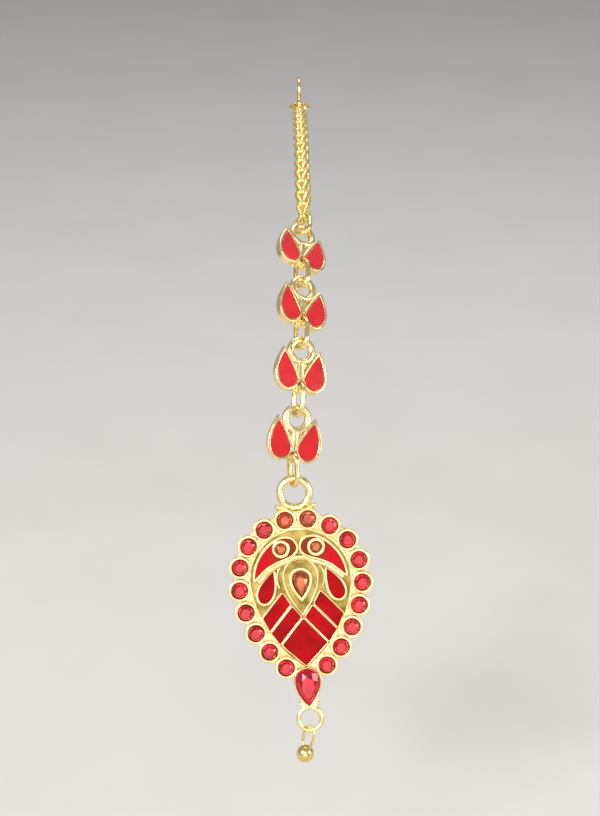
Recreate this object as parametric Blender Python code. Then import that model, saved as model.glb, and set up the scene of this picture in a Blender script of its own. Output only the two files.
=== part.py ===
"""Maang tikka: a hair hook, a loop-in-loop chain, four enamelled leaf links on oval links, and a
pear-shaped pendant of stone cups round an enamelled panel, with a bead drop.

Sizes are real sizes in metres, written as millimetres times MM. +Z is up, the front faces -Y
and +X is to the right of whoever looks at the front. The origin is the middle of the hook's
bend, where the hair sits, and everything else hangs from there over the crown and the brow.

A casting is drawn flat in its own frame: x to the right, y up towards the hook, z out of its
front. Its outlines are tables of (right, down) in millimetres below the casting's own zero.
"""
import math

import bmesh
import bpy
from mathutils import Matrix, Vector

MM = 0.001
DEGREE = math.pi / 180

# The way over the head, from the hook's ring to the pendant
CROWN_START_ANGLE = 92.6 * DEGREE
CROWN_RADIUS = 120 * MM
CROWN_LENGTH = 54.8 * MM
BROW_RADIUS = 80.2 * MM

# Hook
HOOK_WIRE = 0.8 * MM
HOOK_BEND_RADIUS = 2.9 * MM
HOOK_STEM = 2.3 * MM
HOOK_EYE_RADIUS = 1.35 * MM
HOOK_EYE_TURN = 318 * DEGREE
HOOK_TIP_LENGTH = 5.0 * MM
HOOK_TIP_FLARE = 0.9 * MM
HOOK_RING_RADIUS = 2.05 * MM
HOOK_RING_WIRE = 0.9 * MM

# Chain
CHAIN_LINKS = 13
CHAIN_PITCH = 3.96 * MM
CHAIN_WIDTH = 2.6 * MM
CHAIN_DEPTH = 2.82 * MM
CHAIN_WIRE = 0.62 * MM
CHAIN_TURN = -14 * DEGREE
CHAIN_END_LENGTH = 3.0 * MM
CHAIN_END_WIDTH = 2.4 * MM
CHAIN_RING_LENGTH = 5.9 * MM
CHAIN_RING_WIDTH = 4.3 * MM
CHAIN_RING_WIRE = 0.9 * MM
PASS_GAP = 0.12 * MM

# Oval links between the leaf links
OVAL_LENGTH = 7.22 * MM
OVAL_WIDTH = 4.7 * MM
OVAL_WIRE = 1.0 * MM
HOLE_GAP = 0.35 * MM

# Leaf links
LEAF_THICKNESS = 1.5 * MM
LEAF_EYE_RADIUS = 2.85 * MM
LEAF_EYE_HOLE = 1.55 * MM
LEAF_HOLE_DOWN = 6.95 * MM
LEAF_HOLE_RADIUS = 0.85 * MM
LEAF_BAR_WIDTH = 2.6 * MM
LEAF_RIM = 0.72 * MM
ENAMEL_DEPTH = 0.5 * MM
ENAMEL_GAP = 0.06 * MM

# Pendant: a pear of two arcs that meet at one tangent
PEAR_TOP_RADIUS = 12.1 * MM
PEAR_TOP_DOWN = 11.8 * MM
PEAR_SIDE_RADIUS = 25.7 * MM
PEAR_SIDE_DOWN = 9.86 * MM
PLATE_THICKNESS = 0.9 * MM
PLATE_MARGIN = 1.1 * MM
PANEL_INSET = 1.9 * MM
PANEL_HEIGHT = 2.0 * MM
CUP_COUNT = 18
CUP_PITCH = 4.5 * MM
CUP_RADIUS = 2.05 * MM
CUP_WALL = 0.42 * MM
CUP_HEIGHT = 2.6 * MM
CUP_FLOOR = 1.3 * MM
STONE_GAP = 0.05 * MM
STONE_HEIGHT = 1.9 * MM
EYE_CUP_RADIUS = 1.65 * MM
EYE_STONE_RADIUS = 1.05 * MM
RIDGE_HEIGHT = 2.4 * MM
RIDGE_WALL = 0.5 * MM
CHANNEL_FLOOR = 1.7 * MM
COLLET_HEIGHT = 2.8 * MM
COLLET_WALL = 0.6 * MM
TEAR_WALL = 0.35 * MM
BAIL_RADIUS = 2.88 * MM
BAIL_WIRE = 1.55 * MM
BAIL_UP = 5.2 * MM
FOOT_RING_RADIUS = 2.15 * MM
FOOT_RING_WIRE = 0.7 * MM
FOOT_RING_DOWN = 39.3 * MM
RING_FROM_BACK = 0.9 * MM
LUG_BACK = 0.1 * MM
LUG_FRONT = 1.15 * MM
BAIL_GRANULE = 0.55 * MM
FOOT_GRANULE = 0.4 * MM

# Bead drop
DROP_WIRE = 0.5 * MM
DROP_LOOP_LENGTH = 4.6 * MM
DROP_LOOP_WIDTH = 2.5 * MM
DROP_BEAD_RADIUS = 1.75 * MM
DROP_BEAD_DOWN = 5.5 * MM
DROP_LEAN = -12 * DEGREE
DROP_TURN = 50 * DEGREE

# How each piece of the strand lies: lean is its lower end's swing to the right, turn is its
# front's turn to the right
# (piece, lean in degrees, turn in degrees)
STRAND = (
    ("chain_ring", -4.0, 60),
    ("leaf_link_1", -2.5, 30),
    ("oval_link_1", 2.5, 40),
    ("leaf_link_2", -2.5, 30),
    ("oval_link_2", -1.5, 36),
    ("leaf_link_3", -3.0, 22),
    ("oval_link_3", -5.5, 28),
    ("leaf_link_4", -6.5, 15),
    ("oval_link_4", 1.5, 22),
    ("pendant", 3.6, 0),
)

# A quarter of a chain link, from the strand at its fold, which is its foot, up its leg to the
# middle of the ear that hangs on the link above. The legs open upwards and look like a V
# (right share of half width, front share of half depth, up share of pitch)
CHAIN_LINK = (
    (0.34, 0.00, 0.00),
    (0.34, 0.76, -0.005),
    (0.38, 0.99, 0.19),
    (0.90, 0.95, 0.60),
    (1.00, 0.63, 1.00),
    (0.62, 0.43, 1.145),
    (0.00, 0.38, 1.18),
)

# Right leaf of a leaf link, from its tip down the outer side; zero is the eye's middle
LEAF = (
    (3.85, -0.35), (4.95, 2.1), (5.52, 4.8), (4.85, 7.35), (2.95, 8.6),
    (1.05, 7.9), (0.12, 6.0), (1.2, 3.4), (2.6, 1.1),
)
LEAF_WEB_TOP = 2.4 * MM
LEAF_BAR_BOTTOM = 8.62 * MM

# Right half of the pendant's panel; zero is the top of the ring of stones
HORN_INNER = ((0.45, 5.6), (0.75, 4.45), (1.4, 3.75), (2.4, 3.5))
HORN_ARC_RADIUS = 8.95 * MM
HORN_ARC_START = 24 * DEGREE
HORN_ARC_END = 86 * DEGREE
HORN_LOWER = ((8.9, 11.3), (7.6, 9.95), (6.5, 9.05), (5.1, 8.25), (3.75, 7.7), (2.3, 7.2), (1.1, 6.6))
EYE_PLACE = (3.45, 5.5)
LOZENGE_OUTER = ((3.75, 14.2), (7.9, 18.85), (6.7, 21.45), (2.35, 16.55))
LOZENGE_INNER = ((2.0, 16.95), (6.4, 21.9), (4.8, 24.1), (0.4, 19.1))
LOZENGE_MIDDLE = ((0.0, 19.4), (4.4, 24.35), (0.0, 28.6), (-4.4, 24.35))
CRESCENT = ((4.15, 9.0), (4.7, 10.3), (4.75, 12.0), (4.3, 13.5), (4.1, 12.4), (4.25, 11.0), (4.05, 10.0))
# A tear by the middle of its round end's edge, its tip and its full width
# (round end right, down, tip right, down, width)
SIDE_TEAR = (7.75, 15.85, 5.3, 9.95, 2.9)
RIDGE_TEAR = (0.0, 7.45, 0.0, 18.9, 7.1)
CENTRE_TEAR = (0.0, 9.9, 0.0, 15.2, 3.4)
FOOT_TEAR = (0.0, 28.8, 0.0, 37.15, 5.6)
BAIL_GRANULE_PLACE = (3.6, -2.55)
FOOT_GRANULE_PLACE = (1.75, 36.3)
# Right half of the lugs that the two rings and their granules are soldered to
BAIL_LUG = ((0.0, -2.9), (3.7, -2.8), (3.4, -1.9), (2.2, 0.2), (0.0, 0.2))
FOOT_LUG = ((0.0, 34.2), (1.3, 34.6), (1.9, 36.2), (1.3, 37.5), (0.0, 37.4))

# Cut of a stone: share of its height, share of its outline
STONE_CUT = ((0.0, 0.8), (0.45, 1.0), (1.0, 0.56))
TEAR_CUT = ((0.0, 0.8), (0.42, 1.0), (1.0, 0.5))

ROUND_SIDES = 12
WIRE_STEPS = 16

COLOURS = {
    # name: (red, green, blue, metallic, roughness)
    "link_gold": (0.90, 0.72, 0.34, 1.0, 0.18),
    "chain_gold": (0.84, 0.64, 0.25, 1.0, 0.30),
    "casting_gold": (0.88, 0.69, 0.30, 1.0, 0.24),
    "bead_gold": (0.92, 0.74, 0.36, 1.0, 0.15),
    "leaf_enamel": (0.70, 0.012, 0.018, 0.0, 0.12),
    "panel_enamel": (0.50, 0.012, 0.018, 0.0, 0.10),
    "red_glass": (0.55, 0.015, 0.03, 0.0, 0.05),
    "amber_glass": (0.60, 0.10, 0.02, 0.0, 0.05),
}


def clear_scene():
    for thing in list(bpy.data.objects):
        bpy.data.objects.remove(thing)


def make_collection(name):
    group = bpy.data.collections.new(name)
    bpy.context.scene.collection.children.link(group)
    return group


def make_material(name):
    red, green, blue, metallic, roughness = COLOURS[name]
    material = bpy.data.materials.new(name)
    material.use_nodes = True
    shader = material.node_tree.nodes["Principled BSDF"]
    shader.inputs["Base Color"].default_value = (red, green, blue, 1)
    shader.inputs["Metallic"].default_value = metallic
    shader.inputs["Roughness"].default_value = roughness
    return material


def add_object(name, mesh):
    thing = bpy.data.objects.new(name, mesh)
    PARTS.objects.link(thing)
    return thing


def finish(thing, name, material, frame, smooth_angle=35 * DEGREE):
    """Name a finished piece, give it its material and set it in its frame."""
    thing.name = name
    thing.data.name = name
    thing.data.materials.clear()
    thing.data.materials.append(MATERIALS[material])
    thing.data.shade_smooth()
    thing.data.set_sharp_from_angle(angle=smooth_angle)
    thing.matrix_world = frame
    return thing


# Outlines, as lists of (x, y) in metres

def to_outline(table):
    return [(right * MM, -down * MM) for right, down in table]


def mirrored(outline):
    return [(-x, y) for x, y in reversed(outline)]


def circle(x, y, radius, sides=ROUND_SIDES):
    return [
        (x + radius * math.cos(2 * math.pi * i / sides), y + radius * math.sin(2 * math.pi * i / sides))
        for i in range(sides)
    ]


def arc(x, y, radius, start, end, steps):
    """Points on an arc, with angles measured from straight up towards the right."""
    angles = [start + (end - start) * i / steps for i in range(steps + 1)]
    return [(x + radius * math.sin(a), y + radius * math.cos(a)) for a in angles]


def smoothed(outline, corners=(), steps=2):
    """A curve through the points that stays sharp at the points whose numbers are corners."""
    count = len(outline)
    curve = []
    for i in range(count):
        here = Vector(outline[i])
        after = Vector(outline[(i + 1) % count])
        before = here if i in corners else Vector(outline[i - 1])
        beyond = after if (i + 1) % count in corners else Vector(outline[(i + 2) % count])
        for step in range(steps):
            t = step / steps
            point = 0.5 * (
                2 * here
                + (after - before) * t
                + (2 * before - 5 * here + 4 * after - beyond) * t * t
                + (3 * here - before - 3 * after + beyond) * t * t * t
            )
            curve.append((point.x, point.y))
    return curve


def shrunk(outline, distance):
    """The outline moved inwards, or outwards where distance is negative.

    Past a sharp corner, the points that would come too near the other side are left out.
    """
    area = sum(a[0] * b[1] - b[0] * a[1] for a, b in zip(outline, outline[1:] + outline[:1]))
    side = 1 if area > 0 else -1
    moved = []
    for i, point in enumerate(outline):
        here = Vector(point)
        arriving = (here - Vector(outline[i - 1])).normalized()
        leaving = (Vector(outline[(i + 1) % len(outline)]) - here).normalized()
        inward = Vector((-(arriving + leaving).y, (arriving + leaving).x)).normalized() * side
        reach = distance / max(0.3, math.sqrt((1 + arriving.dot(leaving)) / 2))
        there = here + inward * reach
        if distance < 0 or nearness(outline, there) > distance * 0.97:
            moved.append(tuple(there))
    return moved


def nearness(outline, place):
    """The distance from place to the nearest edge of the outline."""
    nearest = math.inf
    for start, end in zip(outline, outline[1:] + outline[:1]):
        edge = Vector(end) - Vector(start)
        share = max(0, min(1, (place - Vector(start)).dot(edge) / edge.length_squared))
        nearest = min(nearest, (Vector(start) + edge * share - place).length)
    return nearest


def tear(round_right, round_down, tip_right, tip_down, width, inset=0.0, steps=14):
    """A tear from the middle of its round end's edge to its tip."""
    far = Vector((round_right * MM, -round_down * MM))
    tip = Vector((tip_right * MM, -tip_down * MM))
    along = (tip - far).normalized()
    across = Vector((-along.y, along.x))
    middle = (tip + far) / 2
    half_length = (tip - far).length / 2
    widest = 0.77
    outline = []
    for i in range(steps):
        turn = 2 * math.pi * i / steps
        reach = math.cos(turn) * half_length
        spread = math.sin(turn) * abs(math.sin(turn / 2)) * width * MM / 2 / widest
        point = middle + along * reach + across * spread
        outline.append((point.x, point.y))
    return shrunk(outline, inset) if inset else outline


def pear_point(length):
    """The point this far down the right side of the ring of stones from its top."""
    meeting, aside = pear_meeting()
    top_length = PEAR_TOP_RADIUS * meeting
    if length < top_length:
        turn = length / PEAR_TOP_RADIUS
        return PEAR_TOP_RADIUS * math.sin(turn), PEAR_TOP_RADIUS * math.cos(turn) - PEAR_TOP_DOWN
    turn = meeting + (length - top_length) / PEAR_SIDE_RADIUS
    return (
        PEAR_SIDE_RADIUS * math.sin(turn) - aside,
        PEAR_SIDE_RADIUS * math.cos(turn) - PEAR_SIDE_DOWN,
    )


def pear_meeting():
    """The angle from the top at which the arcs meet, and how far aside the long arc's middle is."""
    between = PEAR_SIDE_RADIUS - PEAR_TOP_RADIUS
    lift = PEAR_TOP_DOWN - PEAR_SIDE_DOWN
    return math.pi / 2 + math.asin(lift / between), math.sqrt(between ** 2 - lift ** 2)


def pear(offset, steps=9):
    """The whole pear, moved outwards by offset, ending in its point at the foot."""
    meeting, aside = pear_meeting()
    foot = math.pi - math.asin(aside / (PEAR_SIDE_RADIUS + offset))
    top = arc(0, -PEAR_TOP_DOWN, PEAR_TOP_RADIUS + offset, 0, meeting, steps)
    side = arc(-aside, -PEAR_SIDE_DOWN, PEAR_SIDE_RADIUS + offset, meeting, foot, steps)
    right_half = top + side[1:]
    return right_half + mirrored(right_half)[1:-1]


# Solids

def stack(outline, levels):
    """A closed solid of the outline at each (height, share), one level above the other."""
    shape = bmesh.new()
    centre = sum((Vector(point) for point in outline), Vector((0, 0))) / len(outline)
    rings = []
    for height, share in levels:
        ring = []
        for point in outline:
            place = centre + (Vector(point) - centre) * share
            ring.append(shape.verts.new((place.x, place.y, height)))
        rings.append(ring)
    shape.faces.new(rings[0])
    shape.faces.new(rings[-1])
    for lower, upper in zip(rings, rings[1:]):
        for i in range(len(outline)):
            after = (i + 1) % len(outline)
            shape.faces.new((lower[i], lower[after], upper[after], upper[i]))
    bmesh.ops.recalc_face_normals(shape, faces=shape.faces)
    mesh = bpy.data.meshes.new("stack")
    shape.to_mesh(mesh)
    shape.free()
    return add_object("stack", mesh)


def slab(outline, bottom, top):
    return stack(outline, ((bottom, 1.0), (top, 1.0)))


def wire(path, thickness, closed=True, resolution=1):
    """A round wire along the points, as a closed mesh."""
    curve = bpy.data.curves.new("wire", "CURVE")
    curve.dimensions = "3D"
    curve.bevel_depth = thickness / 2
    curve.bevel_resolution = resolution
    curve.use_fill_caps = not closed
    spline = curve.splines.new("POLY")
    spline.points.add(len(path) - 1)
    for point, place in zip(spline.points, path):
        point.co = (*place, 1)
    spline.use_cyclic_u = closed
    guide = bpy.data.objects.new("wire", curve)
    PARTS.objects.link(guide)
    mesh = evaluated_mesh(guide)
    bpy.data.objects.remove(guide)
    weld(mesh)
    return add_object("wire", mesh)


def ball(x, y, z, radius, sides=8):
    shape = bmesh.new()
    place = Matrix.Translation((x, y, z))
    bmesh.ops.create_uvsphere(shape, u_segments=sides, v_segments=sides // 2 + 1, radius=radius, matrix=place)
    mesh = bpy.data.meshes.new("ball")
    shape.to_mesh(mesh)
    shape.free()
    return add_object("ball", mesh)


def evaluated_mesh(thing):
    graph = bpy.context.evaluated_depsgraph_get()
    return bpy.data.meshes.new_from_object(thing.evaluated_get(graph))


def weld(mesh):
    shape = bmesh.new()
    shape.from_mesh(mesh)
    bmesh.ops.remove_doubles(shape, verts=shape.verts, dist=0.0005 * MM)
    bmesh.ops.recalc_face_normals(shape, faces=shape.faces)
    shape.to_mesh(mesh)
    shape.free()


def placed(thing, frame):
    thing.data.transform(frame)
    return thing


def joined(things):
    """One object from several that stay clear of each other."""
    shape = bmesh.new()
    for thing in things:
        shape.from_mesh(thing.data)
        bpy.data.objects.remove(thing)
    mesh = bpy.data.meshes.new("joined")
    shape.to_mesh(mesh)
    shape.free()
    return add_object("joined", mesh)


def combined(base, other, operation):
    boolean = base.modifiers.new(operation.lower(), "BOOLEAN")
    boolean.operation = operation
    boolean.object = other
    boolean.solver = "EXACT"
    mesh = evaluated_mesh(base)
    base.modifiers.clear()
    base.data = mesh
    bpy.data.objects.remove(other)
    return base


def fused(base, *others):
    for other in others:
        base = combined(base, other, "UNION")
    return base


def cut(base, *others):
    for other in others:
        base = combined(base, other, "DIFFERENCE")
    return base


# The way of the strand

def upward_angle(distance):
    """Angle from vertical of the strand's upward direction, this far from the hook's ring."""
    over_crown = min(distance, CROWN_LENGTH)
    down_brow = max(distance - CROWN_LENGTH, 0)
    return CROWN_START_ANGLE - over_crown / CROWN_RADIUS - down_brow / BROW_RADIUS


def hang(place, angle, lean, turn, holding):
    """The frame of a piece whose point holding is at place."""
    up = Vector((-math.sin(lean), math.cos(lean) * math.sin(angle), math.cos(lean) * math.cos(angle)))
    front = Vector((0, -math.cos(angle), math.sin(angle)))
    right = up.cross(front).normalized()
    front = right.cross(up)
    axes = Matrix((right, up, front)).transposed().to_4x4()
    return Matrix.Translation(place) @ axes @ Matrix.Rotation(turn, 4, "Y") @ Matrix.Translation(-holding)


# Pieces

def make_hook():
    """Returns the middle of the hook's eye, which the back of the ring passes through."""
    bend = arc(0, 0, HOOK_BEND_RADIUS, -90 * DEGREE, 90 * DEGREE, 10)
    eye_back = -HOOK_BEND_RADIUS - HOOK_EYE_RADIUS
    eye = arc(eye_back, -HOOK_STEM, HOOK_EYE_RADIUS, 90 * DEGREE, 90 * DEGREE + HOOK_EYE_TURN, 14)
    tip = [
        (HOOK_BEND_RADIUS, -HOOK_TIP_LENGTH * 0.6),
        (HOOK_BEND_RADIUS + HOOK_TIP_FLARE * 0.3, -HOOK_TIP_LENGTH * 0.85),
        (HOOK_BEND_RADIUS + HOOK_TIP_FLARE, -HOOK_TIP_LENGTH),
    ]
    path = list(reversed(eye)) + bend + tip
    hook = wire([(0, back, up) for back, up in path], HOOK_WIRE, closed=False, resolution=2)
    finish(hook, "hook", "link_gold", hook_frame())
    return Vector((0, eye_back, -HOOK_STEM))


def hook_frame():
    """x to the right, y back along the head, z out of the head."""
    return Matrix.Rotation(90 * DEGREE - CROWN_START_ANGLE, 4, "X")


def make_hook_ring(eye):
    """Returns the place of the ring's front wire."""
    middle = eye - Vector((0, HOOK_RING_RADIUS, 0))
    path = [(middle.x + x, middle.y + y, middle.z) for x, y in circle(0, 0, HOOK_RING_RADIUS, WIRE_STEPS)]
    finish(wire(path, HOOK_RING_WIRE), "hook_ring", "link_gold", hook_frame())
    return hook_frame() @ (middle - Vector((0, HOOK_RING_RADIUS, 0)))


def chain_link_path():
    half_width = (CHAIN_WIDTH - CHAIN_WIRE) / 2
    half_depth = (CHAIN_DEPTH - CHAIN_WIRE) / 2
    front_right = [(right * half_width, up * CHAIN_PITCH, front * half_depth) for right, front, up in CHAIN_LINK]
    front_left = [(-x, y, z) for x, y, z in reversed(front_right)]
    front = front_right + front_left[1:]
    back = [(x, y, -z) for x, y, z in reversed(front)]
    return front + back[1:-1]


def make_chain(place):
    """Returns how far down the chain's foot is, and the place of the ring's wire in its last fold."""
    holding = Vector((0, -(CHAIN_WIRE + HOOK_RING_WIRE) / 2 - PASS_GAP, 0))
    frame = hang(place, upward_angle(0), 0, CHAIN_TURN, holding)
    end_path = oval_path(CHAIN_END_LENGTH, CHAIN_END_WIDTH, CHAIN_WIRE, steps=3)
    odd, even = [], [placed(wire(end_path, CHAIN_WIRE), frame)]
    place = frame @ Vector((0, CHAIN_WIRE - CHAIN_END_LENGTH, 0))
    distance = CHAIN_END_LENGTH - CHAIN_WIRE - HOOK_RING_WIRE
    holding = Vector((0, CHAIN_LINK[-1][2] * CHAIN_PITCH - CHAIN_WIRE - PASS_GAP, 0))
    for number in range(CHAIN_LINKS):
        frame = hang(place, upward_angle(distance + CHAIN_PITCH / 2), 0, CHAIN_TURN, holding)
        link = placed(wire(chain_link_path(), CHAIN_WIRE), frame)
        (even if number % 2 else odd).append(link)
        place = frame @ Vector((0, 0, 0))
        distance += CHAIN_PITCH
        holding = Vector((0, CHAIN_PITCH, 0))
    finish(fused(joined(odd), joined(even)), "chain", "chain_gold", Matrix())
    in_fold = Vector((0, (CHAIN_WIRE + CHAIN_RING_WIRE) / 2 + PASS_GAP, 0))
    return distance, frame @ in_fold


def oval_path(full_length, full_width, thickness, steps=7):
    """An oval across the casting's plane, hung from its top."""
    round_end = (full_width - thickness) / 2
    length = full_length - thickness
    top = arc(0, -round_end, round_end, -90 * DEGREE, 90 * DEGREE, steps)
    foot = arc(0, round_end - length, round_end, 90 * DEGREE, 270 * DEGREE, steps)
    return [(0, y, x) for x, y in top + foot]


def leaf_outline():
    return smoothed(to_outline(LEAF), corners=(0,))


def leaf_casting():
    half = LEAF_THICKNESS / 2
    leaf = leaf_outline()
    web = [
        (-LEAF_BAR_WIDTH / 2, -LEAF_BAR_BOTTOM), (LEAF_BAR_WIDTH / 2, -LEAF_BAR_BOTTOM),
        (LEAF_BAR_WIDTH / 2, -LEAF_HOLE_DOWN), (LEAF_EYE_HOLE, -LEAF_WEB_TOP),
        (-LEAF_EYE_HOLE, -LEAF_WEB_TOP), (-LEAF_BAR_WIDTH / 2, -LEAF_HOLE_DOWN),
    ]
    body = slab(circle(0, 0, LEAF_EYE_RADIUS, 16), -half, half)
    body = fused(body, slab(web, -half * 0.9, half * 0.8))
    body = fused(body, slab(leaf, -half, half), slab(mirrored(leaf), -half, half))
    over = half * 2
    body = cut(body, slab(circle(0, 0, LEAF_EYE_HOLE, 16), -over, over))
    body = cut(body, slab(circle(0, -LEAF_HOLE_DOWN, LEAF_HOLE_RADIUS, 12), -over, over))
    pocket = shrunk(leaf, LEAF_RIM)
    return cut(body, joined([slab(p, half - ENAMEL_DEPTH, over) for p in (pocket, mirrored(pocket))]))


def make_leaf_link(name, frame, mesh):
    casting = add_object(name, mesh.copy())
    finish(casting, name, "casting_gold", frame)
    number = name[-1]
    enamel = shrunk(leaf_outline(), LEAF_RIM + ENAMEL_GAP)
    floor = LEAF_THICKNESS / 2 - ENAMEL_DEPTH + ENAMEL_GAP
    top = LEAF_THICKNESS / 2
    for side, outline in (("left", mirrored(enamel)), ("right", enamel)):
        inlay = slab(outline, floor, top)
        finish(inlay, f"leaf_enamel_{number}_{side}", "leaf_enamel", frame)


def cup_places():
    """The middle of each cup, from the right of the top down the right side, then the left."""
    right = [pear_point((i + 0.5) * CUP_PITCH) for i in range(CUP_COUNT // 2)]
    return right + [(-x, y) for x, y in right]


def horn_outline():
    outer = arc(0, -PEAR_TOP_DOWN, HORN_ARC_RADIUS, HORN_ARC_START, HORN_ARC_END, 6)
    return to_outline(HORN_INNER) + outer + to_outline(HORN_LOWER)


def panel_cells():
    """(name, outline) of each enamelled cell of the pendant."""
    horn = horn_outline()
    side_tear = tear(*SIDE_TEAR)
    outer = to_outline(LOZENGE_OUTER)
    inner = to_outline(LOZENGE_INNER)
    return (
        ("horn_enamel_right", horn),
        ("horn_enamel_left", mirrored(horn)),
        ("tear_enamel_right", side_tear),
        ("tear_enamel_left", mirrored(side_tear)),
        ("lozenge_outer_right", outer),
        ("lozenge_outer_left", mirrored(outer)),
        ("lozenge_inner_right", inner),
        ("lozenge_inner_left", mirrored(inner)),
        ("lozenge_middle", to_outline(LOZENGE_MIDDLE)),
    )


def eye_places():
    right, down = EYE_PLACE
    return ((right * MM, -down * MM), (-right * MM, -down * MM))


def pendant_frame():
    above = COLLET_HEIGHT * 1.5
    plate = slab(pear(PLATE_MARGIN), 0, PLATE_THICKNESS)
    cups = [slab(circle(x, y, CUP_RADIUS), 0, CUP_HEIGHT) for x, y in cup_places()]
    panel = slab(pear(-PANEL_INSET), PLATE_THICKNESS / 2, PANEL_HEIGHT)
    foot = slab(tear(*FOOT_TEAR, steps=18), 0, CUP_HEIGHT)
    lugs = [to_outline(table) for table in (BAIL_LUG, FOOT_LUG)]
    lugs = joined([slab(lug + mirrored(lug)[1:-1], LUG_BACK, LUG_FRONT) for lug in lugs])
    body = fused(plate, joined(cups), panel, foot, lugs)
    cells = [slab(outline, PLATE_THICKNESS, above) for name, outline in panel_cells()]
    body = cut(body, joined(cells))
    crescent = to_outline(CRESCENT)
    body = cut(body, joined([slab(c, CHANNEL_FLOOR - ENAMEL_GAP, above) for c in (crescent, mirrored(crescent))]))
    eyes = [slab(circle(x, y, EYE_CUP_RADIUS), PLATE_THICKNESS / 2, CUP_HEIGHT) for x, y in eye_places()]
    body = fused(body, joined(eyes), slab(tear(*RIDGE_TEAR, steps=20), PLATE_THICKNESS / 2, RIDGE_HEIGHT))
    body = cut(body, slab(tear(*RIDGE_TEAR, inset=RIDGE_WALL, steps=20), CHANNEL_FLOOR, above))
    body = fused(body, slab(tear(*CENTRE_TEAR, inset=-COLLET_WALL), PLATE_THICKNESS / 2, COLLET_HEIGHT))
    seats = [slab(circle(x, y, CUP_RADIUS - CUP_WALL), CUP_FLOOR, above) for x, y in cup_places()]
    seats += [slab(circle(x, y, EYE_STONE_RADIUS + STONE_GAP), CUP_FLOOR, above) for x, y in eye_places()]
    seats.append(slab(tear(*CENTRE_TEAR), CUP_FLOOR, above))
    seats.append(slab(tear(*FOOT_TEAR, inset=TEAR_WALL), CUP_FLOOR, above))
    body = cut(body, joined(seats))
    bail = wire([(x, y + BAIL_UP, RING_FROM_BACK) for x, y in circle(0, 0, BAIL_RADIUS, 20)], BAIL_WIRE, resolution=2)
    ring = [(x, y - FOOT_RING_DOWN, RING_FROM_BACK) for x, y in circle(0, 0, FOOT_RING_RADIUS, WIRE_STEPS)]
    body = fused(body, bail, wire(ring, FOOT_RING_WIRE))
    right, down = BAIL_GRANULE_PLACE
    granules = [ball(side * right * MM, -down * MM, RING_FROM_BACK, BAIL_GRANULE) for side in (1, -1)]
    right, down = FOOT_GRANULE_PLACE
    granules += [ball(side * right * MM, -down * MM, RING_FROM_BACK, FOOT_GRANULE) for side in (1, -1)]
    return fused(body, joined(granules))


def make_stone(name, outline, floor, frame, material, cut_table=STONE_CUT):
    levels = [(floor + rise * STONE_HEIGHT, share) for rise, share in cut_table]
    finish(stack(outline, levels), name, material, frame, smooth_angle=1 * DEGREE)


def make_pendant(frame):
    finish(pendant_frame(), "pendant_frame", "casting_gold", frame)
    for name, outline in panel_cells():
        floor = PLATE_THICKNESS + ENAMEL_GAP
        inlay = slab(shrunk(outline, ENAMEL_GAP), floor, PANEL_HEIGHT)
        if name.startswith("horn"):
            x, y = eye_places()[0 if name.endswith("right") else 1]
            inlay = cut(inlay, slab(circle(x, y, EYE_CUP_RADIUS + ENAMEL_GAP), 0, CUP_HEIGHT))
        finish(inlay, name, "panel_enamel", frame)
    seat = CUP_FLOOR + STONE_GAP
    for number, (x, y) in enumerate(cup_places(), 1):
        outline = circle(x, y, CUP_RADIUS - CUP_WALL - STONE_GAP)
        make_stone(f"round_stone_{number:02d}", outline, seat, frame, "red_glass")
    for side, (x, y) in zip(("right", "left"), eye_places()):
        make_stone(f"eye_stone_{side}", circle(x, y, EYE_STONE_RADIUS), seat, frame, "amber_glass")
    make_stone("centre_stone", tear(*CENTRE_TEAR, inset=STONE_GAP), seat, frame, "amber_glass", TEAR_CUT)
    make_stone("foot_stone", tear(*FOOT_TEAR, inset=TEAR_WALL + STONE_GAP), seat, frame, "red_glass", TEAR_CUT)


def make_drop(pendant, angle):
    rise = (FOOT_RING_WIRE + DROP_WIRE) / 2 + PASS_GAP
    held = pendant @ Vector((0, rise - FOOT_RING_DOWN - FOOT_RING_RADIUS, RING_FROM_BACK))
    frame = hang(held, angle, DROP_LEAN, DROP_TURN, Vector((0, 0, 0)))
    half_width = DROP_LOOP_WIDTH / 2
    half_length = DROP_LOOP_LENGTH / 2
    path = [(0, (y - 1) * half_length, x * half_width) for x, y in circle(0, 0, 1, WIRE_STEPS)]
    bead = ball(0, -DROP_BEAD_DOWN, 0, DROP_BEAD_RADIUS, sides=16)
    finish(fused(bead, wire(path, DROP_WIRE)), "drop_bead", "bead_gold", frame)


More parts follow.
